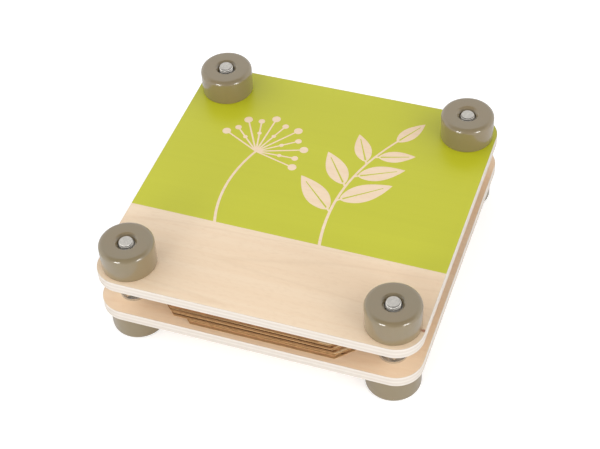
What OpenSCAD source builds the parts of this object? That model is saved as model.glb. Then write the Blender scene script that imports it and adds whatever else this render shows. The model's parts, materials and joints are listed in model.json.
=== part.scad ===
// Flower press: two square plywood boards with a stack of corrugated cardboard and
// blotting paper between them, drawn together by four bolts with round screw-down knobs.
// The origin is on the floor, midway between the four feet. X runs to the right,
// Y to the back and Z up.

/* [Boards] */
// Side of the two square boards
board_w = 180; // [150:1:240]
// Thickness of each plywood board
board_t = 6.5; // [4:0.5:12]
// Radius of the boards' corners
board_corner_r = 15; // [4:0.5:24]
// Distance of each bolt from the two board edges beside it
bolt_inset = 17; // [16:0.5:30]
// Play round a bolt in a board or foot, on the radius
bolt_play = 0.5; // [0.2:0.1:1]

/* [Cardboard and paper] */
// Distance from a board's left or right edge to the cardboard's edge
side_margin = 5.2; // [2:0.1:10]
// Distance from a board's front or back edge to the cardboard's edge
front_margin = 3; // [2:0.1:10]
// Room between a washer and the cardboard's cut corner
corner_room = 2.1; // [1.8:0.1:6]
// How much further the one odd corner of each cardboard sheet is cut back
odd_cut = 8; // [0:0.5:12]
// Thickness of a cardboard sheet
card_t = 2.8; // [2:0.1:4]
// Thickness of the cardboard's two facing papers
liner_t = 0.25; // [0.15:0.01:0.4]
// Thickness of the fluted paper between them
medium_t = 0.2; // [0.15:0.01:0.3]
// Distance from one flute to the next
flute_pitch = 6.2; // [4:0.1:9]
// Thickness of a sheet of blotting paper
paper_t = 0.3; // [0.2:0.02:0.6]
// How far the blotting paper's edge lies inside the cardboard's
paper_margin = 1; // [0.5:0.5:4]
// How far the sheets are laid out of line
sheet_play = 1; // [0:0.1:1.2]
// How far the sheets are turned out of line, in degrees
sheet_skew = 0.4; // [0:0.1:0.5]

/* [Knobs] */
// Diameter of a knob
knob_d = 30; // [26:0.5:32]
// Height of a knob
knob_h = 16; // [14:0.5:24]
// Rounding of a knob's upper edge
knob_round = 2.7; // [1:0.1:4]
// Play round a bolt in a knob's bore, on the radius
knob_play = 0.3; // [0.2:0.1:1]
// Rounding of the bore's mouth, round the bolt's end
mouth_round = 1.5; // [0.5:0.1:2.5]
// Radius of the threaded insert in a knob
insert_r = 6; // [5.5:0.1:7]
// Height left in a knob above the threaded insert
insert_cover = 5; // [3:0.5:6]

/* [Feet] */
// Diameter of a foot
foot_d = 30; // [26:0.5:32]
// Height of a foot
foot_h = 17.5; // [14:0.5:24]
// Rounding of a foot's lower edge
foot_round = 2.7; // [1:0.1:4]
// Depth of the recess that hides the bolt's head under a foot
head_recess = 9.1; // [7:0.1:11]
// Room round the bolt's head in that recess, on the radius
head_room = 1; // [0.5:0.1:1.5]

/* [Bolts, nuts and washers] */
// Nominal diameter of the bolts
bolt_d = 8; // [6:0.5:9]
// Pitch of their thread
thread_pitch = 1.25; // [1:0.05:1.5]
// Depth of their thread
thread_depth = 0.62; // [0.4:0.02:0.8]
// How far the longest bolt's end stands out of its knob
bolt_stand = 0.9; // [0.5:0.1:6]
// Bevel on a bolt's end
bolt_bevel = 0.9; // [0.3:0.05:1.2]
// Width across the flats of the bolt heads and nuts
hex_w = 13; // [12:0.5:14]
// Height of a bolt's head
head_h = 5.3; // [4:0.1:6]
// Height of a nut
nut_h = 6.5; // [5:0.1:8]
// Diameter of a washer
washer_d = 16; // [14:0.5:17]
// Thickness of a washer
washer_t = 1.6; // [1:0.1:2.5]
// Gap between a bolt's thread crests and a nut or insert, on the radius
thread_gap = 0.06; // [0.03:0.01:0.1]

/* [Hidden] */
$fn = 64;
hex_fn = 6;
// Small rounding of the flat end of a knob or foot
base_round = 0.6;
// Corner bevel of the nuts and bolt heads, as a height
hex_bevel = 0.9;
// Slack of a thread crest inside its nominal diameter, on the radius
crest_slack = 0.05;
// Radial slack of the insert's seat in its knob
insert_slack = 0.02;
// Overrun of cuts past the face that they open
over = 1;

// Corners of the press, with the signs of x and y that place them
CORNERS = ["front_left", "front_right", "back_left", "back_right"];
CORNER_SIGNS = [[-1, -1], [1, -1], [-1, 1], [1, 1]];
CARDS = 5;
PAPERS = 2 * (CARDS - 1);

// Lie of the cardboard sheets from the lowest up: quarter turns, then shares of the play
// in x and y, then shares of the skew
CARD_TURNS = [1, 3, 0, 2, 0];
CARD_SHIFT_SHARES = [[1, 0.3], [-0.2, 0.8], [-1, 0.6], [-0.8, 0.1], [-1, 0.2]];
CARD_SKEW_SHARES = [0, 0.5, -0.7, 0.8, 0];
// How far each bolt's end stands out of its knob, or lies below its top, at each corner
BOLT_STAND_SHARES = [0.1, 1, 0.9, -0.7];
// How far round each nut was left when it was tightened, in degrees
NUT_TURNS = [21, 51, 10, 35];

// Heights of the faces, from the floor up
low_board_z = foot_h;
stack_z = low_board_z + board_t;
card_step = card_t + 2 * paper_t;
top_board_z = stack_z + CARDS * card_t + PAPERS * paper_t;
knob_z = top_board_z + board_t;
knob_top_z = knob_z + knob_h;
insert_h = knob_h - insert_cover;

// Bolts, nuts and washers
bolt_at = board_w / 2 - bolt_inset;
crest_r = bolt_d / 2 - crest_slack;
root_r = crest_r - thread_depth;
bolt_lengths = [for (share = BOLT_STAND_SHARES) knob_top_z + bolt_stand * share - head_recess];
hole_r = bolt_d / 2 + bolt_play;
thread_bore_r = crest_r + thread_gap;
hex_r = hex_w / 2 / cos(180 / hex_fn);
head_recess_r = hex_r + head_room;

// Sheets: half their width and depth, and the sum of x and y along their cut corners
card_half = [board_w / 2 - side_margin, board_w / 2 - front_margin];
card_corner = 2 * bolt_at - sqrt(2) * (washer_d / 2 + corner_room);
paper_half = [card_half[0] - paper_margin, card_half[1] - paper_margin];
paper_corner = card_corner - sqrt(2) * paper_margin;

// Flutes: how much of a pitch the foot and the crown of each hollow take up
flute_h = card_t - 2 * liner_t - medium_t;
HOLLOW_FOOT_SHARE = 0.7;
HOLLOW_CROWN_SHARE = 0.27;

// Places its children at one corner's bolt, or at all four
module at_corner(i) translate([CORNER_SIGNS[i][0] * bolt_at, CORNER_SIGNS[i][1] * bolt_at, 0]) children();
module at_corners() for (i = [0:3]) at_corner(i) children();

// Square plywood board with round corners and a hole for each bolt, its lower face at z
module board(z) {
    straight = board_w - 2 * board_corner_r;
    corner_at = board_w / 2 - board_corner_r;
    translate([0, 0, z])
        linear_extrude(board_t)
            difference() {
                union() {
                    square([board_w, straight], center = true);
                    square([straight, board_w], center = true);
                    for (s = CORNER_SIGNS) translate(s * corner_at) circle(board_corner_r);
                }
                for (s = CORNER_SIGNS) translate(s * bolt_at) circle(hole_r);
            }
}

module bottom_board() color("burlywood") board(low_board_z);

module top_board() color("navajowhite") board(top_board_z);

// Half section of a round disc with a large rounding above and a small one below
module disc_section(r, h, round_r) {
    square([r - round_r, h]);
    square([r - base_round, h - round_r]);
    translate([0, base_round]) square([r, h - round_r - base_round]);
    translate([r - round_r, h - round_r]) circle(round_r);
    translate([r - base_round, base_round]) circle(base_round);
}

// Knob: a lacquered disc with a seat for the threaded insert, a way through for the
// bolt and a rounded mouth round the bolt's end
module knob() {
    seat_r = insert_r + insert_slack;
    bore_r = bolt_d / 2 + knob_play;
    color("rosybrown")
        translate([0, 0, knob_z])
            rotate_extrude()
                difference() {
                    disc_section(knob_d / 2, knob_h, knob_round);
                    translate([0, -over]) square([seat_r, insert_h + over]);
                    square([bore_r, knob_h + over]);
                    translate([0, knob_h - mouth_round])
                        difference() {
                            square([bore_r + mouth_round, mouth_round + over]);
                            translate([bore_r + mouth_round, 0]) circle(mouth_round);
                        }
                }
}

// Steel insert that carries the knob's thread
module knob_insert() {
    color("silver")
        translate([0, 0, knob_z])
            difference() {
                cylinder(h = insert_h, r = insert_r);
                translate([0, 0, -over]) cylinder(h = insert_h + 2 * over, r = thread_bore_r);
            }
}

// Foot: a disc like the knob, upside down, with a recess for the bolt's head
module foot() {
    color("rosybrown")
        translate([0, 0, foot_h])
            mirror([0, 0, 1])
                difference() {
                    rotate_extrude() disc_section(foot_d / 2, foot_h, foot_round);
                    translate([0, 0, -over]) cylinder(h = foot_h + 2 * over, r = hole_r);
                    translate([0, 0, foot_h - head_recess])
                        cylinder(h = head_recess + over, r = head_recess_r);
                }
}

// Hexagon prism with bevelled corners above and, if asked, below
module hex_block(h, both) {
    low = both ? hex_bevel : 0;
    flat_r = hex_w / 2;
    intersection() {
        cylinder(h = h, r = hex_r, $fn = hex_fn);
        rotate_extrude()
            polygon([
                [0, 0], [both ? flat_r : hex_r, 0], [hex_r, low],
                [hex_r, h - hex_bevel], [flat_r, h], [0, h]
            ]);
    }
}

// Bolt: a hexagon head under the foot and a threaded shank up through both boards
module bolt(bolt_len) {
    turns = floor((bolt_len - bolt_bevel) / thread_pitch) - 1;
    neck = bolt_len - bolt_bevel - turns * thread_pitch;
    thread = [
        for (i = [0:turns - 1])
            for (p = [[crest_r, 0], [root_r, thread_pitch / 2]])
                [p[0], neck + i * thread_pitch + p[1]]
    ];
    color("lightgray")
        translate([0, 0, head_recess]) {
            rotate_extrude()
                polygon(concat(
                    [[0, 0], [crest_r, 0]],
                    thread,
                    [[crest_r, bolt_len - bolt_bevel], [crest_r - bolt_bevel, bolt_len], [0, bolt_len]]
                ));
            mirror([0, 0, 1]) hex_block(head_h, false);
        }
}

// Washer and nut that clamp each bolt and foot to the lower board
module washers() {
    color("silver")
        at_corners()
            translate([0, 0, stack_z])
                difference() {
                    cylinder(h = washer_t, r = washer_d / 2);
                    translate([0, 0, -over]) cylinder(h = washer_t + 2 * over, r = hole_r);
                }
}

module nuts() {
    color("silver")
        for (i = [0:3])
            at_corner(i)
                translate([0, 0, stack_z + washer_t])
                    difference() {
                        rotate(NUT_TURNS[i]) hex_block(nut_h, true);
                        translate([0, 0, -over]) cylinder(h = nut_h + 2 * over, r = thread_bore_r);
                    }
}

// Outline of a sheet with its corners cut off; the back left one is cut by odd more
module sheet_outline(half, corner, odd) {
    x = half[0];
    y = half[1];
    a = corner - y;
    b = corner - x;
    polygon([[a, -y], [x, -b], [x, b], [a, y], [odd - a, y], [-x, b - odd], [-x, -b], [-a, -y]]);
}

// One hollow beside the fluted paper, its foot on a facing paper and its crown at the flute
module hollow() {
    foot = HOLLOW_FOOT_SHARE * flute_pitch / 2;
    crown = HOLLOW_CROWN_SHARE * flute_pitch / 2;
    polygon([[-foot, 0], [foot, 0], [crown, flute_h], [-crown, flute_h]]);
}

// End view of a fluted sheet, x across the flutes and y through the thickness
module fluted_section(half_w) {
    flutes = floor(2 * half_w / flute_pitch);
    difference() {
        translate([-half_w, 0]) square([2 * half_w, card_t]);
        for (i = [0:flutes - 1]) {
            x = (i + 0.5 - flutes / 2) * flute_pitch;
            translate([x - flute_pitch / 4, liner_t]) hollow();
            translate([x + flute_pitch / 4, card_t - liner_t]) mirror([0, 1]) hollow();
        }
    }
}

// Corrugated cardboard sheet, counted from the lowest, with its flutes along y before its turn
module cardboard_sheet(i) {
    k = i - 1;
    z = stack_z + k * card_step;
    across = CARD_TURNS[k] % 2;
    half = [card_half[across], card_half[1 - across]];
    color("peru")
        translate([sheet_play * CARD_SHIFT_SHARES[k][0], sheet_play * CARD_SHIFT_SHARES[k][1], z])
            rotate(90 * CARD_TURNS[k] + sheet_skew * CARD_SKEW_SHARES[k])
                intersection() {
                    translate([0, half[1] + over, 0])
                        rotate([90, 0, 0]) linear_extrude(2 * (half[1] + over)) fluted_section(half[0]);
                    linear_extrude(card_t) sheet_outline(half, card_corner, odd_cut);
                }
}

// Sheet of blotting paper: the odd ones lie on a cardboard sheet, the even ones on the last
module blotting_paper(i) {
    pair = floor((i - 1) / 2);
    upper = (i - 1) % 2;
    lean = 1 - 2 * upper;
    z = stack_z + pair * card_step + card_t + upper * paper_t;
    shift = CARD_SHIFT_SHARES[pair + upper] * sheet_play;
    color("antiquewhite")
        translate([shift[0], shift[1], z])
            rotate(sheet_skew * lean)
                linear_extrude(paper_t) sheet_outline(paper_half, paper_corner, 0);
}

bottom_board();
top_board();
washers();
nuts();
for (i = [0:3]) {
    at_corner(i) foot();
    at_corner(i) bolt(bolt_lengths[i]);
    at_corner(i) knob();
    at_corner(i) knob_insert();
}
for (i = [1:CARDS]) cardboard_sheet(i);
for (i = [1:PAPERS]) blotting_paper(i);
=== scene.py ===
# Flower press: finished look of the boards, knobs, feet, bolts, cardboard and blotting paper.
# Lengths are in metres. X runs to the right, Y to the back and Z up, from the floor.
import json
import math

import bmesh
import bpy
from bpy.props import FloatProperty, FloatVectorProperty, PointerProperty
from mathutils import Matrix, Vector
from mathutils.geometry import delaunay_2d_cdt


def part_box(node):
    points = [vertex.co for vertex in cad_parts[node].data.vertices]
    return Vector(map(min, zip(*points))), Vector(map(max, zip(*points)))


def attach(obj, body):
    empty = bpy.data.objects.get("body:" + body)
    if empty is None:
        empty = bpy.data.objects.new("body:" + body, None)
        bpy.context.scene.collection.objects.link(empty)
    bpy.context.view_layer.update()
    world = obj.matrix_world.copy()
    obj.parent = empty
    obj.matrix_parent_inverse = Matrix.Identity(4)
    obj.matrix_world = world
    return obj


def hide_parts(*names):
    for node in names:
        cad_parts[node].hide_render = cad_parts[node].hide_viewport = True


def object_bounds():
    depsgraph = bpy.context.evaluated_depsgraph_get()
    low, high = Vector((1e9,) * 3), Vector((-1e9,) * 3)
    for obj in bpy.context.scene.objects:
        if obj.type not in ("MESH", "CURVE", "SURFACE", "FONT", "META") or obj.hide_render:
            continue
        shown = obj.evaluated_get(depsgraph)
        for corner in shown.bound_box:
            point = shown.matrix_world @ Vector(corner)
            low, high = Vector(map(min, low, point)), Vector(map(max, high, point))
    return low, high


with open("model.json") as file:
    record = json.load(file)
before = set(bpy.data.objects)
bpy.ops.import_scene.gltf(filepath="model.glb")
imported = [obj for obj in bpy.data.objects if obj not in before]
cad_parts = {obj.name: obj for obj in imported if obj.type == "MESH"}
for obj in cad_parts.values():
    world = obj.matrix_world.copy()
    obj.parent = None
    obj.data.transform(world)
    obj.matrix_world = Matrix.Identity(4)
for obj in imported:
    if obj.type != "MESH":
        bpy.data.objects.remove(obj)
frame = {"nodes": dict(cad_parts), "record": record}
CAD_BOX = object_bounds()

bl_info = {
    "name": "Flower press",
    "version": (1, 0, 0),
    "blender": (4, 5, 0),
    "location": "View3D > Sidebar > Flower press",
    "description": "Builds a flower press of plywood, cardboard and paper, piece by piece",
    "category": "Add Mesh",
}

MM = 0.001
CORNERS = ("front_left", "front_right", "back_left", "back_right")
# Blotting papers in the stack, plies in a board, and growth rings in the figure of its veneer
PAPERS = 8
PLIES = 5
GROWTH_RINGS = 14
# Steps round a disc, nut, washer or bolt's head, round a board's bore and round a bolt's rod
AROUND = 96
BORE_STEPS = 48
ROD_STEPS = 32
# Rows of faces in one turn of a bolt's thread
THREAD_ROWS = 12
# Numbers of a board's finishes
BARE, PRINTED, EDGE = range(3)
# Slope of the cone that cuts a hexagon's corners, and the share of its flats that stays level
CONE_SLOPE = 0.58
LEVEL_SHARE = 0.95
# How many times as high as its bevel a nut or washer is
BEVELS_HIGH = 12
# Lie of the cardboard sheets from the lowest up: quarter turns, then shares of the play in
# x and y, shares of the skew, and on which side the odd corner is
CARD_LIES = (
    (1, 1, 0.3, 0, 1),
    (3, -0.2, 0.8, 0.5, 1),
    (3, -1, 0.6, -0.7, -1),
    (1, -0.8, 0.1, 0.8, -1),
    (0, -1, 0.2, 0, 1),
)
# Distance between the points along a facing paper and along a blotting paper
FACING_SPACING = 1 * MM
BLOTTER_SPACING = 1.5 * MM
# Steps between the seeds of the papers in a sheet, of the cardboard and of the blotting paper
PLY_SEED, CARD_SEED, BLOTTER_SEED = 7.3, 31.7, 17.9
# How far round each nut was left, in degrees, in the order of the corners
NUT_TURNS = (21, 51, 10, 35)
# Knot in the bare strip: how far it lies from the board's right side and front, and half its
# length and width
KNOT_PLACE = (1 * MM, 16.7 * MM)
KNOT_HALVES = (1.9 * MM, 1.3 * MM)
# Printed sprig and seed head in millimetres: x of the foot, the point that the stem leans
# towards, and its tip
SPRIG = (20, (10, 14), (38, 58))
SEED_HEAD = (-40, (-50, -4), (-38, 26))
# Leaves of the sprig: point of the stem, length in millimetres and side
SPRIG_LEAVES = ((11, 31, 1), (15, 31, -1), (20, 28, 1), (24, 27, -1), (29, 23, 1), (32, 21, -1))
# Where the studio is dark, above the front, so that gloss and metal show it
FRONT_WAY = (0.26, -0.66, 0.7)
# Where the studio's tent is brightest, on either side
SIDE_WAYS = ((0.8, -0.14, 0.58), (-0.8, -0.2, 0.57))
# Lamps: name, azimuth and elevation in degrees, distance, width, height and watts
LAMPS = (
    ("left_softbox", -107, 14, 1.4, 0.46, 0.3, 5.6),
    ("right_softbox", -30, 10, 1.4, 0.46, 0.3, 4.8),
)
# Camera: its place, its azimuth, tilt and roll in degrees, and its lens in millimetres
CAMERA_PLACE = (0.20767, -0.52697, 0.61587)
CAMERA_TURNS = (21.84, 43.755, -3.757)
CAMERA_LENS = 87.41
# Half the side of the floor
FLOOR_HALF = 2.5


def linear(red, green, blue):
    """Linear colour of an 8-bit one."""
    shares = [value / 255 for value in (red, green, blue)]
    return tuple(s / 12.92 if s <= 0.04045 else ((s + 0.055) / 1.055) ** 2.4 for s in shares)


def length(name, description, millimetres):
    """A size that a user may change."""
    return FloatProperty(
        name=name, description=description, default=millimetres * MM, min=0, precision=5, unit="LENGTH"
    )


def colour(name, description, red, green, blue):
    """A colour that a user may change."""
    return FloatVectorProperty(
        name=name, description=description, default=linear(red, green, blue), min=0, max=1, subtype="COLOR"
    )


class PressSizes(bpy.types.PropertyGroup):
    """Sizes of the flower press"""

    corner_radius: length("Board corner", "Radius of the boards' corners", 15)
    board_edge: length("Board edge", "Rounding of the boards' edges", 0.25)
    board_bore: length("Board bore", "Radius of the bolt holes in the boards", 4.5)
    bare_left: length("Bare strip, left", "Depth of the unprinted strip at its left end", 57.7)
    bare_right: length("Bare strip, right", "Depth of the unprinted strip at its right end", 57)
    disc_round: length("Disc rounding", "Rounding of a knob's or foot's outer edge", 2.7)
    disc_base_round: length("Disc base rounding", "Rounding of a knob's or foot's flat end", 0.6)
    knob_bore: length("Knob bore", "Radius of a knob's bore above its insert", 4.5)
    knob_mouth: length("Knob mouth", "Width and depth of the bore's flared mouth", 2.2)
    mouth_edge: length("Knob mouth edge", "Rounding of that mouth's two edges", 0.9)
    insert_seat: length("Insert seat", "Radius of the insert's seat in a knob", 6.02)
    foot_recess: length("Foot recess", "Radius of the recess under a foot", 8.506)
    head_seat: length("Head seat", "Depth of that recess", 9.1)
    crest: length("Thread crest", "Radius of the bolts' thread over its crests", 3.95)
    thread_depth: length("Thread depth", "Depth of the bolts' thread", 0.62)
    thread_pitch: length("Thread pitch", "Distance from one turn of the thread to the next", 1.25)
    bolt_bevel: length("Bolt bevel", "Width of the bevel on a bolt's end", 0.5)
    across_flats: length("Across flats", "Width of the bolt heads and nuts over their flats", 13)
    nut_bore: length("Nut bore", "Radius of the bore of a nut", 4.01)
    washer_radius: length("Washer radius", "Outer radius of a washer", 8)
    flute_pitch: length("Flute pitch", "Distance from one flute of the cardboard to the next", 6.2)
    liner: length("Facing paper", "Thickness of the cardboard's facing papers", 0.25)
    medium: length("Fluted paper", "Thickness of the cardboard's fluted paper", 0.2)
    card_half_x: length("Cardboard half width", "Half the width of a cardboard sheet", 84.8)
    card_half_y: length("Cardboard half depth", "Half the depth of a cardboard sheet", 87)
    card_corner: length("Cardboard corner", "Sum of x and y along a cardboard sheet's cut corners", 131.716)
    card_odd: length("Odd corner", "How much further the one odd corner is cut", 8)
    paper_margin: length("Paper margin", "How far the blotting paper's edge lies inside the cardboard's", 1)
    ragged: length("Ragged edge", "Unevenness of the cut edges of the cardboard", 0.75)
    sheet_play: length("Sheet play", "How far the sheets are laid out of line", 1)
    sheet_skew: FloatProperty(
        name="Sheet skew",
        description="How far the sheets are turned out of line",
        default=math.radians(0.4),
        subtype="ANGLE",
    )


class PressColours(bpy.types.PropertyGroup):
    """Colours of the flower press"""

    veneer: colour("Veneer", "Pale wood of the boards' faces", 252, 231, 203)
    veneer_dark: colour("Veneer grain", "Darker streaks of that wood", 241, 209, 172)
    knot: colour("Knot", "Small knot in the top board's face", 160, 84, 42)
    ply: colour("Ply edge", "Cut edges of the boards' plies", 220, 212, 202)
    ply_dark: colour("Cross ply edge", "Cut edges of the plies that lie crosswise", 210, 200, 189)
    print_green: colour("Print", "Green print on the top board", 195, 196, 20)
    lacquer: colour("Lacquer", "Taupe lacquer of the knobs and feet", 127, 113, 83)
    steel: colour("Zinc", "Zinc plating of the bolts, nuts and washers", 206, 202, 195)
    kraft: colour("Kraft paper", "Facing papers of the cardboard", 206, 163, 112)
    kraft_dark: colour("Fluted paper", "Fluted paper inside the cardboard", 163, 116, 73)
    blotter: colour("Blotting paper", "Blotting paper between the cardboard sheets", 214, 190, 152)
    floor: colour("Floor", "Floor and surroundings", 235, 235, 235)


# Materials


def add(tree, kind, values=None, **options):
    """Adds a node to a tree, sets its options and fills or links its inputs."""
    made = tree.nodes.new(kind)
    for option, value in options.items():
        setattr(made, option, value)
    for socket, value in (values or {}).items():
        if isinstance(value, bpy.types.NodeSocket):
            tree.links.new(value, made.inputs[socket])
        else:
            made.inputs[socket].default_value = value
    return made


def calc(tree, operation, *values):
    """The result of a sum on numbers and sockets."""
    return add(tree, "ShaderNodeMath", dict(enumerate(values)), operation=operation).outputs[0]


def rgba(value):
    return (*value, 1)


def blend(tree, share, first, second):
    """One colour passing into another with a share from 0 to 1."""
    first, second = (
        tone if isinstance(tone, bpy.types.NodeSocket) else rgba(tone) for tone in (first, second)
    )
    values = {0: share, 6: first, 7: second}
    return add(tree, "ShaderNodeMix", values, data_type="RGBA").outputs[2]


def stained(tree, tone, cover, share, other):
    """A tone that passes into another, up to a share, where something covers it."""
    return blend(tree, calc(tree, "MULTIPLY", cover, share), tone, other)


def shade(tone, factor):
    """A lighter or darker tone of a colour."""
    return [min(1, value * factor) for value in tone]


def spots(tree, where, detail=2.0, roughness=0.5, distortion=0.0):
    """A soft random pattern."""
    return add(tree, "ShaderNodeTexNoise", {
        "Vector": where, "Scale": 1, "Detail": detail, "Roughness": roughness, "Distortion": distortion,
    }).outputs["Fac"]


def pattern(tree, scale, *kind):
    """A soft random pattern on a piece. Scale says how fine it is along X, Y and Z."""
    here = add(tree, "ShaderNodeTexCoord").outputs["Object"]
    return spots(tree, add(tree, "ShaderNodeMapping", {"Vector": here, "Scale": scale}).outputs[0], *kind)


def spread(tree, value, low, high):
    """A pattern stretched so that low becomes 0 and high becomes 1."""
    values = {"Value": value, "From Min": low, "From Max": high}
    return add(tree, "ShaderNodeMapRange", values, clamp=True).outputs[0]


def lines(tree, value, width):
    """Thin lines where a value passes the middle between two whole numbers."""
    share = calc(tree, "FRACT", value)
    apart = calc(tree, "ABSOLUTE", calc(tree, "SUBTRACT", share, 0.5))
    return calc(tree, "SUBTRACT", 1, spread(tree, apart, 0, width))


def attribute(tree, name):
    return add(tree, "ShaderNodeAttribute", attribute_name=name).outputs["Fac"]


def finish(name, rough, metal=0.0, **sockets):
    """A new material, its tree and its shader, with values for the shader's named sockets."""
    made = bpy.data.materials.new(name)
    made.use_nodes = True
    shader = made.node_tree.nodes["Principled BSDF"]
    shader.inputs["Roughness"].default_value = rough
    shader.inputs["Metallic"].default_value = metal
    for socket, value in sockets.items():
        shader.inputs[socket.replace("_", " ")].default_value = value
    return made, made.node_tree, shader


def surface(tree, shader, tone, height, strength, distance):
    """Gives a shader its colour, and lets a pattern raise the surface by up to a distance."""
    tree.links.new(tone, shader.inputs["Base Color"])
    values = {"Height": height, "Strength": strength, "Distance": distance}
    raised = add(tree, "ShaderNodeBump", values)
    tree.links.new(raised.outputs["Normal"], shader.inputs["Normal"])


def wood_grain(tree):
    """Streaks and broad figure of a veneer whose grain runs along X."""
    return pattern(tree, (4, 260, 260), 3, 0.6, 0.2), pattern(tree, (1.5, 22, 22), 2, 0.45, 0.3)


def knot(tree, centre, long, wide):
    """1 at the heart of a knot, 0 outside it."""
    here = add(tree, "ShaderNodeTexCoord").outputs["Object"]
    away = add(tree, "ShaderNodeVectorMath", {0: here, 1: centre}, operation="SUBTRACT").outputs[0]
    scale = (1 / long, 1 / wide, 1 / long)
    unit = add(tree, "ShaderNodeVectorMath", {0: away, 1: scale}, operation="MULTIPLY").outputs[0]
    far = add(tree, "ShaderNodeVectorMath", {0: unit}, operation="LENGTH").outputs["Value"]
    return calc(tree, "SUBTRACT", 1, spread(tree, far, 0.4, 1))


def veneer(colours):
    made, tree, shader = finish("Veneer", 0.5, Coat_Weight=0.7, Coat_Roughness=0.32)
    streaks, figure = wood_grain(tree)
    dark = colours.veneer_dark
    tone = blend(tree, spread(tree, figure, 0.3, 0.75), colours.veneer, dark)
    tone = stained(tree, tone, spread(tree, streaks, 0.4, 0.75), 0.5, dark)
    growth = lines(tree, calc(tree, "MULTIPLY", figure, GROWTH_RINGS), 0.12)
    tone = stained(tree, tone, growth, 0.3, shade(dark, 0.9))
    pores = pattern(tree, (260, 700, 700))
    tone = stained(tree, tone, spread(tree, pores, 0.5, 0.75), 0.3, shade(dark, 0.92))
    low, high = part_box("top_board")
    heart = knot(tree, (high.x - KNOT_PLACE[0], low.y + KNOT_PLACE[1], high.z), *KNOT_HALVES)
    tone = stained(tree, tone, heart, 0.85, colours.knot)
    surface(tree, shader, tone, streaks, 0.25, 0.1 * MM)
    return made


def green_print(colours):
    made, tree, shader = finish("Green print", 0.42, Coat_Weight=0.55, Coat_Roughness=0.3)
    streaks, figure = wood_grain(tree)
    green = colours.print_green
    lighter = [min(1, value * 1.05 + 0.004) for value in green]
    tone = blend(tree, spread(tree, figure, 0.35, 0.7), lighter, green)
    tone = stained(tree, tone, spread(tree, streaks, 0.45, 0.8), 0.3, shade(green, 0.95))
    surface(tree, shader, tone, streaks, 0.15, 0.06 * MM)
    return made


def ply_edge(colours):
    """Plies, counted by the attribute that runs from 0 to 1 through the board."""
    made, tree, shader = finish("Ply edge", 0.6)
    plies = calc(tree, "MULTIPLY", attribute(tree, "ply"), PLIES)
    cross = calc(tree, "FLOORED_MODULO", calc(tree, "FLOOR", plies), 2)
    tone = blend(tree, cross, colours.ply, colours.ply_dark)
    glue = lines(tree, calc(tree, "ADD", plies, 0.5), 0.12)
    tone = stained(tree, tone, glue, 0.2, shade(colours.ply_dark, 0.75))
    fibres = pattern(tree, (260, 260, 1500), 3, 0.6)
    tone = stained(tree, tone, spread(tree, fibres, 0.4, 0.8), 0.4, colours.ply_dark)
    surface(tree, shader, tone, fibres, 0.4, 0.1 * MM)
    return made


def lacquer(colours):
    made, tree, shader = finish("Taupe lacquer", 0.34, Coat_Weight=1.0, Coat_Roughness=0.07, Coat_IOR=1.7)
    warmer = [value * factor for value, factor in zip(colours.lacquer, (1.05, 0.99, 0.93))]
    tone = blend(tree, spread(tree, pattern(tree, (60, 60, 60)), 0.3, 0.7), colours.lacquer, warmer)
    surface(tree, shader, tone, pattern(tree, (420, 420, 420), 1), 0.12, 0.08 * MM)
    return made


def plated(name, steel, rough, metal, threaded=False):
    """Zinc plating, a little uneven. On a bolt, attributes tell where its thread is, which is painted lighter
    as a painted highlight, and how deep in its groove a point lies, which is painted darker as painted shade.
    """
    made, tree, shader = finish(name, rough, metal)
    clouds = pattern(tree, (900, 900, 900), 3, 0.6)
    tone = blend(tree, spread(tree, clouds, 0.35, 0.7), steel, shade(steel, 0.78))
    uneven = calc(tree, "MULTIPLY_ADD", clouds, 0.25, rough - 0.12)
    if threaded:
        thread = attribute(tree, "thread")
        # Painted highlight: the whole thread is painted half again as light as the zinc of the bolt's end and
        # head.
        tone = blend(tree, thread, tone, shade(steel, 1.5))
        # Painted shade: the thread's groove is painted darker, down to a fifth of the zinc's colour, the
        # deeper a point lies in it.
        groove = spread(tree, attribute(tree, "groove"), 0.2, 0.8)
        tone = blend(tree, groove, tone, shade(steel, 0.2))
        uneven = calc(tree, "MULTIPLY_ADD", thread, -0.08, uneven)
        tree.links.new(calc(tree, "MULTIPLY_ADD", thread, -0.45, metal), shader.inputs["Metallic"])
    tree.links.new(uneven, shader.inputs["Roughness"])
    surface(tree, shader, tone, clouds, 0.15, 0.04 * MM)
    return made


def zinc(colours):
    return plated("Zinc", colours.steel, 0.32, 0.85)


def threaded_zinc(colours):
    return plated("Threaded zinc", colours.steel, 0.32, 0.85, threaded=True)


# Nuts and washers: polished zinc, smoother and more metallic, with its colour painted a fifth lighter than
# the bolts' zinc as painted light, since they stand in the shade between the boards.
def polished_zinc_painted_lighter(colours):
    return plated("Bright zinc", shade(colours.steel, 1.2), 0.17, 0.95)


def paper(name, light, dark, rough, fibre):
    """Fibrous paper or board."""
    made, tree, shader = finish(name, rough)
    fibres = pattern(tree, (fibre, fibre * 2.4, fibre * 2), 4, 0.65)
    flecks = pattern(tree, (fibre * 4, fibre * 4, fibre * 4))
    tone = blend(tree, spread(tree, fibres, 0.35, 0.72), light, dark)
    tone = stained(tree, tone, spread(tree, flecks, 0.6, 0.8), 0.4, shade(dark, 0.8))
    surface(tree, shader, tone, fibres, 0.3, 0.08 * MM)
    return made


def kraft(colours):
    return paper("Kraft paper", colours.kraft, shade(colours.kraft, 0.66), 0.85, 420)


def fluted_kraft(colours):
    return paper("Fluted kraft paper", colours.kraft_dark, shade(colours.kraft_dark, 0.6), 0.88, 420)


def blotter(colours):
    return paper("Blotting paper", colours.blotter, shade(colours.blotter, 0.93), 0.92, 400)


def material(make):
    """The material that a function above makes, made once."""
    key = "press_material"
    for known in bpy.data.materials:
        if known.get(key) == make.__name__:
            return known
    made = make(bpy.context.scene.press_colours)
    made[key] = make.__name__
    return made


# Shapes


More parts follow.
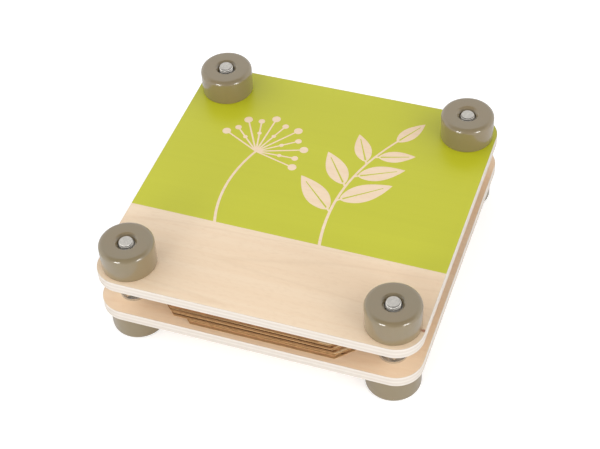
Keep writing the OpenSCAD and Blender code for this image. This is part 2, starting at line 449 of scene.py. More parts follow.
def circle(radius, steps, at):
    turn = math.tau / steps
    return [(at[0] + radius * math.cos(i * turn), at[1] + radius * math.sin(i * turn)) for i in range(steps)]


def arc(centre, radius, start, end, steps):
    """Points of an arc in a profile, from one angle to another in degrees."""
    angles = [math.radians(start + (end - start) * i / steps) for i in range(steps + 1)]
    return [(centre[0] + radius * math.cos(a), centre[1] + radius * math.sin(a)) for a in angles]


def close_up(mesh, sharp=35):
    """Merges doubles, turns the faces outwards and keeps the sharp edges sharp."""
    merge_within, shortest = 1e-7, 1e-8
    shape = bmesh.new()
    shape.from_mesh(mesh)
    bmesh.ops.remove_doubles(shape, verts=shape.verts, dist=merge_within)
    bmesh.ops.dissolve_degenerate(shape, edges=shape.edges, dist=shortest)
    bmesh.ops.recalc_face_normals(shape, faces=shape.faces)
    shape.to_mesh(mesh)
    shape.free()
    mesh.polygons.foreach_set("use_smooth", [True] * len(mesh.polygons))
    mesh.set_sharp_from_angle(angle=math.radians(sharp))
    mesh.update()


def turned(name, profile, at=(0, 0), base=0.0, reach=None):
    """A closed profile of (radius, height) turned round an upright axis. Reach moves a point
    of the profile at an angle, and a radius of 0 becomes a pole."""
    vertices, faces = [], []
    count = len(profile)
    for i in range(AROUND):
        angle = math.tau * i / AROUND
        for radius, height in profile:
            out, up = reach(angle, radius, height) if reach else (radius, height)
            vertices.append((at[0] + out * math.cos(angle), at[1] + out * math.sin(angle), base + up))
    for i in range(AROUND):
        here, after = i * count, (i + 1) % AROUND * count
        for j in range(count):
            k = (j + 1) % count
            faces.append((here + j, after + j, after + k, here + k))
    mesh = bpy.data.meshes.new(name)
    mesh.from_pydata(vertices, [], faces)
    close_up(mesh)
    return mesh


def joined(name, *meshes):
    """Several meshes as one, with the materials of the first."""
    shape = bmesh.new()
    made = bpy.data.meshes.new(name)
    for mesh in meshes:
        shape.from_mesh(mesh)
    shape.to_mesh(made)
    shape.free()
    for finish_used in meshes[0].materials:
        made.materials.append(finish_used)
    return made


def placed(name, mesh, body, node):
    """A finished piece that rides on a body and stands for a CAD node."""
    piece = bpy.data.objects.new(name, mesh)
    bpy.context.scene.collection.objects.link(piece)
    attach(piece, body)
    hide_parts(node)


def dress(node, make):
    """Gives a CAD node a finished material."""
    solid = frame["nodes"][node]
    if not solid.material_slots:
        solid.data.materials.append(None)
    for holder in solid.material_slots:
        holder.material = material(make)


def bolt_place(corner):
    low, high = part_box("bolt_" + corner)
    return ((low.x + high.x) / 2, (low.y + high.y) / 2)


# Boards


def board_outline(half, radius, marks):
    """Square with round corners, counter-clockwise from its right side, with a point added
    on the left and the right side at the y of each mark."""
    points, corner_steps = [], 14
    at = half - radius
    for quarter, (sx, sy) in enumerate(((1, 1), (-1, 1), (-1, -1), (1, -1))):
        if quarter == 2 and marks[0] is not None:
            points.append((-half, marks[0]))
        points += arc((sx * at, sy * at), radius, 90 * quarter, 90 * (quarter + 1), corner_steps)
    if marks[1] is not None:
        points.append((half, marks[1]))
    return points


def turned_left(loop):
    """The loop in counter-clockwise order."""
    area = sum(a[0] * b[1] - b[0] * a[1] for a, b in zip(loop, loop[1:] + loop[:1]))
    return loop if area > 0 else loop[::-1]


def flat_face(outline, holes, layers):
    """Triangles of a flat face with holes. Each layer is the number of a finish and its loops,
    painted in order, and each triangle comes with the number of the last layer over it."""
    loops = [outline] + holes + [loop for _, shapes in layers for loop in shapes]
    numbers = [BARE] + [None] * len(holes) + [number for number, shapes in layers for _ in shapes]
    points, rings = [], []
    for loop in loops:
        loop = turned_left(loop)
        rings.append(list(range(len(points), len(points) + len(loop))))
        points += [Vector(p) / MM for p in loop]
    found = delaunay_2d_cdt(points, [], rings, 1, 1e-6, True)
    triangles, painted = [], []
    for triangle, inside in zip(found[2], found[5]):
        covers = [numbers[i] for i in sorted(inside)]
        outside = 0 not in inside
        if outside or None in covers:
            continue
        triangles.append(triangle)
        painted.append(covers[-1])
    return [p * MM for p in found[0]], triangles, painted


def board(name, node, layers=(), marks=(None, None)):
    """Plywood board: its two faces, its rounded edge and its bolt holes."""
    sizes = bpy.context.scene.press_sizes
    low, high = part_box(node)
    edge, bore = sizes.board_edge, sizes.board_bore
    bevel = edge / 2
    bend_steps = 4
    bends = [math.pi / 2 * i / bend_steps for i in range(bend_steps + 1)]
    rise = [(edge * (1 - math.sin(a)), high.z - edge * (1 - math.cos(a))) for a in bends]
    fall = [(inset, low.z + high.z - z) for inset, z in reversed(rise)]
    side = []
    for inset, z in rise + fall:
        outline = board_outline(high.x - inset, sizes.corner_radius - inset, marks)
        side.append([(x, y, z) for x, y in outline])
    levels = (
        (bore + bevel, high.z),
        (bore, high.z - bevel),
        (bore, low.z + bevel),
        (bore + bevel, low.z),
    )
    bores = []
    for corner in CORNERS:
        place = bolt_place(corner)
        bores.append([[(x, y, z) for x, y in circle(radius, BORE_STEPS, place)] for radius, z in levels])

    vertices, faces, finishes = [], [], []

    def bridge(loops, flip):
        """Joins each loop of points to the next one with the faces of a cut edge."""
        first, count = len(vertices), len(loops[0])
        for loop in loops:
            vertices.extend(loop)
        for level in range(len(loops) - 1):
            a, b = first + level * count, first + (level + 1) * count
            for i in range(count):
                j = (i + 1) % count
                quad = (a + i, b + i, b + j, a + j)
                faces.append(quad[::-1] if flip else quad)
                finishes.append(EDGE)

    bridge(side, False)
    for loops in bores:
        bridge(loops, True)
    for z, end, face_layers in ((high.z, 0, layers), (low.z, -1, ())):
        outline = [point[:2] for point in side[end]]
        holes = [[point[:2] for point in loops[end]] for loops in bores]
        points, triangles, painted = flat_face(outline, holes, face_layers)
        start = len(vertices)
        vertices.extend((p[0], p[1], z) for p in points)
        for triangle, number in zip(triangles, painted):
            triangle = [start + i for i in triangle]
            faces.append(triangle[::-1] if end else triangle)
            finishes.append(number)

    mesh = bpy.data.meshes.new(name)
    mesh.from_pydata(vertices, [], faces)
    mesh.polygons.foreach_set("material_index", finishes)
    for make in (veneer, green_print, ply_edge):
        mesh.materials.append(material(make))
    close_up(mesh, sharp=50)
    level_from = 0.999
    mesh.polygons.foreach_set("use_smooth", [abs(p.normal.z) < level_from for p in mesh.polygons])
    ply = mesh.attributes.new("ply", "FLOAT", "POINT")
    ply.data.foreach_set("value", [(v.co.z - low.z) / (high.z - low.z) for v in mesh.vertices])
    return mesh


def bend(start, pull, end, steps):
    """Points of a curve from start to end that leans towards pull."""
    points = []
    for i in range(steps + 1):
        t = i / steps
        shares = ((1 - t) ** 2, 2 * t * (1 - t), t * t)
        points.append(tuple(sum(s * v for s, v in zip(shares, values)) for values in zip(start, pull, end)))
    return points


def heading(along):
    """Direction of a vector, in degrees."""
    return math.degrees(math.atan2(along.y, along.x))


def toward(foot, lean, reach):
    """The point at a distance from the foot, in a direction in degrees."""
    return (foot[0] + reach * math.cos(math.radians(lean)), foot[1] + reach * math.sin(math.radians(lean)))


def stroke(path, wide, narrow):
    """Outline of a stroke along a path, from one width to another, with a round far end."""
    left, right = [], []
    last = len(path) - 1
    for i, point in enumerate(path):
        before, after = Vector(path[max(i - 1, 0)]), Vector(path[min(i + 1, last)])
        along = (after - before).normalized()
        side = Vector((-along.y, along.x)) * (wide + (narrow - wide) * i / last) / 2
        left.append(tuple(Vector(point) + side))
        right.append(tuple(Vector(point) - side))
    lean = heading(along)
    tip = arc(path[-1], narrow / 2, lean - 90, lean + 90, 6)[1:-1]
    return right + tip + left[::-1]


def leaf(foot, lean, reach, width):
    """Outline of a pointed leaf from its foot, leaning at an angle in degrees."""
    steps, fullest_near, roundness = 18, 0.8, 0.9
    along = Vector((math.cos(math.radians(lean)), math.sin(math.radians(lean))))
    side = Vector((-along.y, along.x))
    right, left = [], []
    for i in range(steps + 1):
        t = i / steps
        swell = 0
        if 0 < i < steps:
            swell = width / 2 * math.sin(math.pi * t ** fullest_near) ** roundness
        spine = Vector(foot) + along * (reach * t)
        right.append(tuple(spine - side * swell))
        if 0 < i < steps:
            left.append(tuple(spine + side * swell))
    return right + left[::-1]


def sprig(foot, pull, tip):
    """A leafy sprig: its bare shapes and the green midribs on its leaves."""
    stem, twig, midrib = (1.7, 1.1), (1.2, 1), (1, 0.5)
    leaf_turn, slimness = 48, 0.42
    twig_reach, leaf_from = 3.2, 2
    end_reach, end_width, end_rib = 22, 9, (2, 18)
    path = bend(foot, pull, tip, 40)
    bare, ribs = [stroke(path, *stem)], []
    for place, reach, side in SPRIG_LEAVES:
        start, ahead = Vector(path[place]), Vector(path[place + 1])
        lean = heading(ahead - start) + side * leaf_turn
        bare.append(stroke([tuple(start), toward(start, lean, twig_reach)], *twig))
        stalk = toward(start, lean, leaf_from)
        bare.append(leaf(stalk, lean, reach, reach * slimness))
        ribs.append(stroke([toward(stalk, lean, reach * share) for share in (0.06, 0.82)], *midrib))
    lean = heading(Vector(path[-1]) - Vector(path[-2]))
    bare.append(leaf(path[-2], lean, end_reach, end_width))
    ribs.append(stroke([toward(path[-2], lean, far) for far in end_rib], *midrib))
    return bare, ribs


def seed_head(foot, pull, tip):
    """An umbel: a stem and a fan of rays, each with a round seed at its end."""
    rays, half_fan = 11, 84
    side_reach, top_reach, shorter = 25, 4, 3
    long_seed, short_seed, inner_seed = 2.5, 1.9, 1.3
    stem, ray = (1.6, 1.3), (1, 0.9)
    path = bend(foot, pull, tip, 30)
    bare = [stroke(path, *stem)]
    run = heading(Vector(path[-1]) - Vector(path[-2]))
    for i in range(rays):
        odd = i % 2
        share = i / (rays - 1) * 2 - 1
        reach = side_reach + top_reach * math.cos(share * math.pi / 2) - shorter * odd
        lean = run + share * half_fan
        out = toward(tip, lean, reach)
        bare.append(stroke([tip, out], *ray))
        bare.append(circle(short_seed if odd else long_seed, 28, out))
        if odd:
            bare.append(circle(inner_seed, 20, toward(tip, lean, reach * 0.6)))
    return bare


def scaled(loops):
    return [[(x * MM, y * MM) for x, y in loop] for loop in loops]


class PRESS_OT_bottom_board(bpy.types.Operator):
    """Make the bare plywood board that the feet carry"""

    bl_idname = "press.bottom_board"
    bl_label = "Bottom board"

    def execute(self, context):
        mesh = board("bottom_board_ply", "bottom_board")
        placed("bottom_board_ply", mesh, "base", "bottom_board")
        return {"FINISHED"}


class PRESS_OT_top_board(bpy.types.Operator):
    """Make the top board with its bare strip and its green print"""

    bl_idname = "press.top_board"
    bl_label = "Top board"

    def execute(self, context):
        sizes = context.scene.press_sizes
        low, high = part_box("top_board")
        marks = (low.y + sizes.bare_left, low.y + sizes.bare_right)
        half = high.x - sizes.board_edge
        outline = board_outline(half, sizes.corner_radius - sizes.board_edge, marks)
        strip = outline[outline.index((-half, marks[0])):]
        foot_y = (marks[0] + marks[1]) / 2 / MM - 1
        bare, ribs = sprig((SPRIG[0], foot_y), *SPRIG[1:])
        bare += seed_head((SEED_HEAD[0], foot_y), *SEED_HEAD[1:])
        layers = [(PRINTED, [outline]), (BARE, [strip] + scaled(bare)), (PRINTED, scaled(ribs))]
        mesh = board("top_board_ply", "top_board", layers, marks)
        placed("top_board_ply", mesh, "top_board", "top_board")
        return {"FINISHED"}


# Knobs and feet


def disc_rim(sizes, radius, height):
    """Profile of a disc's outside, from its flat end at 0 to its rounded end."""
    low, high = sizes.disc_base_round, sizes.disc_round
    return (
        arc((radius - low, low), low, -90, 0, 4)
        + arc((radius - high, height - high), high, 0, 90, 12)
    )


class PRESS_OT_knobs(bpy.types.Operator):
    """Make the four lacquered knobs, each with its bore and its seat for the insert"""

    bl_idname = "press.knobs"
    bl_label = "Knobs"

    def execute(self, context):
        sizes = context.scene.press_sizes
        for corner in CORNERS:
            node = "knob_" + corner
            low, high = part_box(node)
            seat_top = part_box("knob_insert_" + corner)[1].z - low.z
            height, bore = high.z - low.z, sizes.knob_bore
            mouth, soft = sizes.knob_mouth, sizes.mouth_edge
            profile = disc_rim(sizes, high.x - (low.x + high.x) / 2, height)
            profile += arc((bore + mouth, height - soft), soft, 90, 135, 6)
            profile += arc((bore + soft, height - mouth), soft, 135, 180, 6)
            profile += [(bore, seat_top), (sizes.insert_seat, seat_top), (sizes.insert_seat, 0)]
            mesh = turned(node + "_disc", profile, bolt_place(corner), low.z)
            mesh.materials.append(material(lacquer))
            placed(node + "_disc", mesh, node, node)
            dress("knob_insert_" + corner, zinc)
        return {"FINISHED"}


class PRESS_OT_feet(bpy.types.Operator):
    """Make the four lacquered feet, each with its recess for a bolt's head"""

    bl_idname = "press.feet"
    bl_label = "Feet"

    def execute(self, context):
        sizes = context.scene.press_sizes
        for corner in CORNERS:
            node = "foot_" + corner
            low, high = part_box(node)
            height, seat = high.z - low.z, low.z + sizes.head_seat
            profile = disc_rim(sizes, (high.x - low.x) / 2, height)
            recess, edge, bore = sizes.foot_recess, sizes.board_edge, sizes.board_bore
            profile += [(recess + edge, height), (recess, height - edge), (recess, height - seat)]
            profile += [(bore, height - seat), (bore, 0)]
            profile = [(radius, height - up) for radius, up in profile]
            mesh = turned(node + "_disc", profile, bolt_place(corner), low.z)
            mesh.materials.append(material(lacquer))
            placed(node + "_disc", mesh, "base", node)
        return {"FINISHED"}


# Bolts, nuts and washers


def rule(name, numbers, others):
    """An empty tree of geometry nodes, and its named inputs: numbers, and others by kind."""
    tree = bpy.data.node_groups.new(name, "GeometryNodeTree")
    kinds = {label: "Float" for label in numbers} | others
    for label, kind in kinds.items():
        tree.interface.new_socket(name=label, in_out="INPUT", socket_type="NodeSocket" + kind)
    tree.interface.new_socket(name="Mesh", in_out="OUTPUT", socket_type="NodeSocketGeometry")
    given = tree.nodes.new("NodeGroupInput")
    return tree, {label: given.outputs[label] for label in kinds}


def hand_out(tree, geometry, finish_given=None):
    """Ends a tree: instances made real and, where it is given, the material set."""
    real = add(tree, "GeometryNodeRealizeInstances", {"Geometry": geometry}).outputs[0]
    if finish_given is not None:
        values = {"Geometry": real, "Material": finish_given}
        real = add(tree, "GeometryNodeSetMaterial", values).outputs[0]
    add(tree, "NodeGroupOutput", {"Mesh": real})


def xyz(tree, x=0.0, y=0.0, z=0.0):
    return add(tree, "ShaderNodeCombineXYZ", {"X": x, "Y": y, "Z": z}).outputs[0]


def place_now(tree):
    """X and Y of each point of a grid."""
    here = add(tree, "GeometryNodeInputPosition").outputs[0]
    return add(tree, "ShaderNodeSeparateXYZ", {"Vector": here}).outputs[:2]


def welded(tree, geometry):
    """Geometry whose seams and poles are closed."""
    values = {"Geometry": geometry, "Distance": 0.001 * MM}
    return add(tree, "GeometryNodeMergeByDistance", values).outputs[0]


def threaded_rod():
    """Rod with a single helical thread, its top end bevelled, standing on the origin. Two attributes tell the
    material where its thread is, which it paints lighter as a painted highlight, and how deep in the thread's
    groove a point lies, which it paints darker as painted shade."""
    numbers = ("Length", "Crest Radius", "Thread Depth", "Pitch", "Bevel")
    others = {"Sides": "Int", "Rows per Turn": "Int", "Finish": "Material"}
    tree, given = rule("Threaded rod", numbers, others)
    crest, pitch = given["Crest Radius"], given["Pitch"]
    row = calc(tree, "DIVIDE", pitch, given["Rows per Turn"])
    steep, bevel_slope = 8, 0.8
    spare = calc(tree, "ADD", calc(tree, "MULTIPLY_ADD", crest, 1 / steep, pitch), row)
    tall = calc(tree, "MULTIPLY_ADD", spare, 2, given["Length"])
    rows = calc(tree, "CEIL", calc(tree, "DIVIDE", tall, row))
    run = calc(tree, "MULTIPLY", rows, row)
    grid = add(tree, "GeometryNodeMeshGrid", {
        "Size X": 1,
        "Size Y": run,
        "Vertices X": calc(tree, "ADD", given["Sides"], 1),
        "Vertices Y": calc(tree, "ADD", rows, 1),
    }).outputs["Mesh"]
    x, y = place_now(tree)
    turn = calc(tree, "ADD", x, 0.5)
    level = calc(tree, "SUBTRACT", calc(tree, "MULTIPLY_ADD", run, 0.5, y), spare)
    along = calc(tree, "MULTIPLY_ADD", turn, pitch, level)
    phase = calc(tree, "MULTIPLY", calc(tree, "DIVIDE", level, pitch), math.tau)
    ridge = calc(tree, "MULTIPLY_ADD", calc(tree, "COSINE", phase), 0.5, 0.5)
    past = calc(tree, "SUBTRACT", along, given["Length"])
    root = calc(tree, "SUBTRACT", crest, given["Thread Depth"])
    radius = calc(tree, "MULTIPLY_ADD", ridge, given["Thread Depth"], root)
    blunt = calc(tree, "SUBTRACT", crest, given["Bevel"])
    bevelled = calc(tree, "MULTIPLY_ADD", calc(tree, "MINIMUM", past, 0), -bevel_slope, blunt)
    capped = calc(tree, "MAXIMUM", calc(tree, "SUBTRACT", past, row), 0)
    from_top = calc(tree, "MULTIPLY_ADD", capped, -steep, bevelled)
    from_foot = calc(tree, "MULTIPLY_ADD", along, steep, blunt)
    radius = calc(tree, "MINIMUM", radius, calc(tree, "MINIMUM", from_top, from_foot))
    radius = calc(tree, "MAXIMUM", radius, 0)
    height = calc(tree, "MINIMUM", calc(tree, "MAXIMUM", along, 0), given["Length"])
    angle = calc(tree, "MULTIPLY", turn, math.tau)
    x, y = (calc(tree, "MULTIPLY", radius, calc(tree, way, angle)) for way in ("COSINE", "SINE"))
    # Where the thread runs, painted lighter by the material as a painted highlight, and how deep in its
    # groove each point lies, painted darker as painted shade
    thread = calc(tree, "LESS_THAN", past, 0)
    groove = calc(tree, "MULTIPLY", calc(tree, "SUBTRACT", 1, ridge), thread)
    marked = grid
    for name, value in (("groove", groove), ("thread", thread)):
        values = {"Geometry": marked, "Name": name, "Value": value}
        marked = add(tree, "GeometryNodeStoreNamedAttribute", values).outputs[0]
    values = {"Geometry": marked, "Position": xyz(tree, x, y, height)}
    wound = add(tree, "GeometryNodeSetPosition", values).outputs[0]
    hand_out(tree, welded(tree, wound), given["Finish"])
    return tree


def at_each_bolt():
    """A fastener at each point, turned by the point's attribute."""
    others = {"Bolts": "Geometry", "Fastener": "Object", "Finish": "Material"}
    tree, given = rule("Fastener at each bolt", (), others)
    shape = add(tree, "GeometryNodeObjectInfo", {"Object": given["Fastener"]}).outputs["Geometry"]
    turn = add(tree, "GeometryNodeInputNamedAttribute", {"Name": "turn"}, data_type="FLOAT").outputs[0]
    values = {"Points": given["Bolts"], "Instance": shape, "Rotation": xyz(tree, z=turn)}
    hand_out(tree, add(tree, "GeometryNodeInstanceOnPoints", values).outputs[0], given["Finish"])
    return tree


def grown(name, tree, values, source=None):
    """The plain mesh that a tree makes with these values for its named inputs."""
    holder = bpy.data.objects.new(name, source or bpy.data.meshes.new(name))
    bpy.context.scene.collection.objects.link(holder)
    modifier = holder.modifiers.new(name, "NODES")
    modifier.node_group = tree
    for item in tree.interface.items_tree:
        if item.in_out == "INPUT" and item.name in values:
            modifier[item.identifier] = values[item.name]
    depsgraph = bpy.context.evaluated_depsgraph_get()
    mesh = bpy.data.meshes.new_from_object(holder.evaluated_get(depsgraph), depsgraph=depsgraph)
    mesh.name = name
    bpy.data.objects.remove(holder)
    return mesh


def hexagon(across, tall):
    """Reach of a hexagon with its corners cut to a cone, for a profile drawn to its flats."""
    flat = across / 2

    def reach(angle, radius, level):
        if radius < flat:
            return radius, level
        out = flat / math.cos(angle % (math.pi / 3) - math.pi / 6)
        drop = (out - flat) * CONE_SLOPE
        return out, level - drop if level > tall / 2 else level + drop

    return reach


class PRESS_OT_bolts(bpy.types.Operator):
    """Make the four bolts, each with its hexagon head and its thread"""

    bl_idname = "press.bolts"
    bl_label = "Bolts"

    def execute(self, context):
        sizes = context.scene.press_sizes
        rod_rule = threaded_rod()
        for corner in CORNERS:
            node = "bolt_" + corner
            low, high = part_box(node)
            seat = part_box("foot_" + corner)[0].z + sizes.head_seat
            sunk = sizes.crest / 4
            rod = grown(node, rod_rule, {
                "Length": high.z - seat + sunk,
                "Crest Radius": sizes.crest,
                "Thread Depth": sizes.thread_depth,
                "Pitch": sizes.thread_pitch,
                "Bevel": sizes.bolt_bevel,
                "Sides": ROD_STEPS,
                "Rows per Turn": THREAD_ROWS,
                "Finish": material(threaded_zinc),
            })
            x, y = bolt_place(corner)
            rod.transform(Matrix.Translation((x, y, seat - sunk)))
            close_up(rod)
            tall = seat - low.z
            flat = sizes.across_flats / 2
            inner = flat * LEVEL_SHARE
            profile = [(0, 0), (inner, 0), (flat, 0), (flat, tall), (inner, tall), (0, tall)]
            head = turned(node, profile, (x, y), low.z, hexagon(sizes.across_flats, tall))
            mesh = joined(node + "_screw", rod, head)
            placed(node + "_screw", mesh, "base", node)
        return {"FINISHED"}


def washer(sizes, tall):
    bevel, out, bore = tall / BEVELS_HIGH, sizes.washer_radius, sizes.board_bore
    profile = [(bore, 0), (out - bevel, 0), (out, bevel), (out, tall - bevel), (out - bevel, tall)]
    return turned("washer", profile + [(bore, tall)])


def nut(sizes, tall):
    bevel, out, bore = tall / BEVELS_HIGH, sizes.across_flats / 2, sizes.nut_bore
    face = out * LEVEL_SHARE
    profile = [(bore + bevel, 0), (face, 0), (out, 0), (out, tall), (face, tall), (bore + bevel, tall)]
    profile += [(bore, tall - bevel), (bore, bevel)]
    return turned("nut", profile, reach=hexagon(sizes.across_flats, tall))


class PRESS_OT_nuts_and_washers(bpy.types.Operator):
    """Make the nuts and washers that clamp the bolts to the bottom board"""

    bl_idname = "press.nuts_and_washers"
    bl_label = "Nuts and washers"

    def execute(self, context):
        spread_rule = at_each_bolt()
        for node, shape in (("washers", washer), ("nuts", nut)):
            low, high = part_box(node)
            pattern_piece = bpy.data.objects.new(node, shape(context.scene.press_sizes, high.z - low.z))
            points = bpy.data.meshes.new(node)
            points.from_pydata([(*bolt_place(corner), low.z) for corner in CORNERS], [], [])
            turns = points.attributes.new("turn", "FLOAT", "POINT")
            turns.data.foreach_set("value", [math.radians(turn) for turn in NUT_TURNS])
            values = {"Fastener": pattern_piece, "Finish": material(polished_zinc_painted_lighter)}
            mesh = grown(node + "_set", spread_rule, values, points)
            bpy.data.objects.remove(pattern_piece)
            close_up(mesh)
            placed(node + "_set", mesh, "base", node)
        return {"FINISHED"}


# Cardboard and blotting paper


# What the tree of a paper and that of a cardboard sheet are both given for the sheet's outline
OUTLINE_INPUTS = ("Half Width", "Half Depth", "Corner", "Odd Cut", "Ragged")


def paper_layer():
    """One paper cut to a square with its corners off, flat or waved, its cut edges uneven."""
    numbers = (*OUTLINE_INPUTS, "Level", "Thickness", "Wave Height", "Wave Pitch", "Spacing", "Seed")
    tree, given = rule("Paper layer", numbers, {"Finish": "Material"})
    tear_along, tear_across = 700, 40
    deep = given["Half Depth"]
    wide = calc(tree, "MULTIPLY", given["Half Width"], 2)
    grid = add(tree, "GeometryNodeMeshGrid", {
        "Size X": wide,
        "Size Y": 1,
        "Vertices X": calc(tree, "ADD", calc(tree, "ROUND", calc(tree, "DIVIDE", wide, given["Spacing"])), 1),
        "Vertices Y": 2,
    }).outputs["Mesh"]
    x, y = place_now(tree)
    straight = calc(tree, "SUBTRACT", given["Corner"], deep)
    right = calc(tree, "MAXIMUM", calc(tree, "SUBTRACT", x, straight), 0)
    odd = calc(tree, "MAXIMUM", calc(tree, "MULTIPLY", given["Odd Cut"], calc(tree, "SIGN", y)), 0)
    to_left = calc(tree, "MULTIPLY_ADD", x, -1, calc(tree, "SUBTRACT", odd, straight))
    left = calc(tree, "MAXIMUM", to_left, 0)
    along, across = calc(tree, "MULTIPLY", x, tear_along), calc(tree, "MULTIPLY", y, tear_across)
    tear = spots(tree, xyz(tree, along, across, given["Seed"]))
    torn = calc(tree, "MULTIPLY", spread(tree, tear, 0.3, 0.7), given["Ragged"])
    reach = calc(tree, "SUBTRACT", deep, calc(tree, "ADD", right, calc(tree, "ADD", left, torn)))
    out = calc(tree, "MULTIPLY", calc(tree, "SIGN", y), reach)
    wave = calc(tree, "SINE", calc(tree, "DIVIDE", calc(tree, "MULTIPLY", x, math.tau), given["Wave Pitch"]))
    up = calc(tree, "MULTIPLY_ADD", wave, given["Wave Height"], given["Level"])
    values = {"Geometry": grid, "Position": xyz(tree, x, out, up)}
    laid = add(tree, "GeometryNodeSetPosition", values).outputs[0]
    upward = add(tree, "GeometryNodeInputNormal").outputs[0]
    values = {0: upward, "Scale": calc(tree, "MULTIPLY", given["Thickness"], -0.5)}
    sunk = add(tree, "ShaderNodeVectorMath", values, operation="SCALE").outputs[0]
    low = add(tree, "GeometryNodeSetPosition", {"Geometry": laid, "Offset": sunk}).outputs[0]
    values = {"Mesh": low, "Offset Scale": given["Thickness"], "Individual": False}
    raised = add(tree, "GeometryNodeExtrudeMesh", values, mode="FACES").outputs["Mesh"]
    both = tree.nodes.new("GeometryNodeJoinGeometry")
    for face in (raised, add(tree, "GeometryNodeFlipFaces", {"Mesh": low}).outputs[0]):
        tree.links.new(face, both.inputs[0])
    hand_out(tree, welded(tree, both.outputs[0]), given["Finish"])
    return tree


def cardboard(layer):
    """Single-wall corrugated cardboard: a fluted paper between two facing papers."""
    numbers = (*OUTLINE_INPUTS, "Thickness", "Facing", "Fluted", "Flute Pitch", "Seed")
    others = {"Facing Finish": "Material", "Fluted Finish": "Material"}
    tree, given = rule("Corrugated cardboard", numbers, others)
    flute_steps = 10
    middle = calc(tree, "MULTIPLY", given["Thickness"], 0.5)
    low = calc(tree, "MULTIPLY", given["Facing"], 0.5)
    high = calc(tree, "SUBTRACT", given["Thickness"], low)
    wave = calc(tree, "SUBTRACT", middle, calc(tree, "MULTIPLY_ADD", given["Fluted"], 0.5, given["Facing"]))
    fine = calc(tree, "DIVIDE", given["Flute Pitch"], flute_steps)
    stack = tree.nodes.new("GeometryNodeJoinGeometry")
    for number, (level, kind, height, spacing) in enumerate((
        (low, "Facing", 0.0, FACING_SPACING),
        (middle, "Fluted", wave, fine),
        (high, "Facing", 0.0, FACING_SPACING),
    )):
        values = {label: given[label] for label in OUTLINE_INPUTS} | {
            "Level": level,
            "Thickness": given[kind],
            "Wave Height": height,
            "Wave Pitch": given["Flute Pitch"],
            "Spacing": spacing,
            "Seed": calc(tree, "ADD", given["Seed"], number * PLY_SEED),
            "Finish": given[kind + " Finish"],
        }
        part = add(tree, "GeometryNodeGroup", values, node_tree=layer)
        tree.links.new(part.outputs[0], stack.inputs[0])
    hand_out(tree, stack.outputs[0])
    return tree


def body_of(node):
    """The body that a CAD node belongs to."""
    bodies = frame["record"]["behaviour"]["bodies"]
    return next(body for body, nodes in bodies.items() if node in nodes)


def laid_out(mesh, lie, turn, level):
    """Turns a sheet and shifts it to its place in the stack."""
    play = bpy.context.scene.press_sizes.sheet_play
    to_right, to_back = lie[1], lie[2]
    shift = Matrix.Translation((to_right * play, to_back * play, level))
    mesh.transform(shift @ Matrix.Rotation(turn, 4, "Z"))
    close_up(mesh, sharp=60)


class PRESS_OT_cardboard(bpy.types.Operator):
    """Make the sheets of corrugated cardboard"""

    bl_idname = "press.cardboard"
    bl_label = "Cardboard"

    def execute(self, context):
        sizes = context.scene.press_sizes
        sheet_rule = cardboard(paper_layer())
        for i, lie in enumerate(CARD_LIES):
            node = f"cardboard_sheet_{i + 1}"
            low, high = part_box(node)
            quarters, skew, odd_side = lie[0], lie[3], lie[4]
            halves = (sizes.card_half_x, sizes.card_half_y)
            mesh = grown(node + "_fluted", sheet_rule, {
                "Half Width": halves[quarters % 2],
                "Half Depth": halves[1 - quarters % 2],
                "Corner": sizes.card_corner,
                "Odd Cut": sizes.card_odd * odd_side,
                "Thickness": high.z - low.z,
                "Facing": sizes.liner,
                "Fluted": sizes.medium,
                "Flute Pitch": sizes.flute_pitch,
                "Ragged": sizes.ragged,
                "Seed": i * CARD_SEED,
                "Facing Finish": material(kraft),
                "Fluted Finish": material(fluted_kraft),
            })
            laid_out(mesh, lie, math.pi / 2 * quarters + sizes.sheet_skew * skew, low.z)
            placed(node + "_fluted", mesh, body_of(node), node)
        return {"FINISHED"}


class PRESS_OT_blotting_paper(bpy.types.Operator):
    """Make the sheets of blotting paper, two between each pair of cardboard sheets"""

    bl_idname = "press.blotting_paper"
    bl_label = "Blotting paper"

    def execute(self, context):
        sizes = context.scene.press_sizes
        sheet_rule = paper_layer()
        for i in range(PAPERS):
            node = f"blotting_paper_{i + 1}"
            low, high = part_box(node)
            thick = high.z - low.z
            mesh = grown(node + "_sheet", sheet_rule, {
                "Half Width": sizes.card_half_x - sizes.paper_margin,
                "Half Depth": sizes.card_half_y - sizes.paper_margin,
                "Corner": sizes.card_corner - math.sqrt(2) * sizes.paper_margin,
                "Odd Cut": 0.0,
                "Level": thick / 2,
                "Thickness": thick,
                "Wave Height": 0.0,
                "Wave Pitch": sizes.flute_pitch,
                "Spacing": BLOTTER_SPACING,
                "Ragged": sizes.ragged / 3,
                "Seed": i * BLOTTER_SEED,
                "Finish": material(blotter),
            })
            lie = CARD_LIES[(i + 1) // 2]
            laid_out(mesh, lie, sizes.sheet_skew * (-1 if i % 2 else 1), low.z)
            placed(node + "_sheet", mesh, body_of(node), node)
        return {"FINISHED"}


# Stage


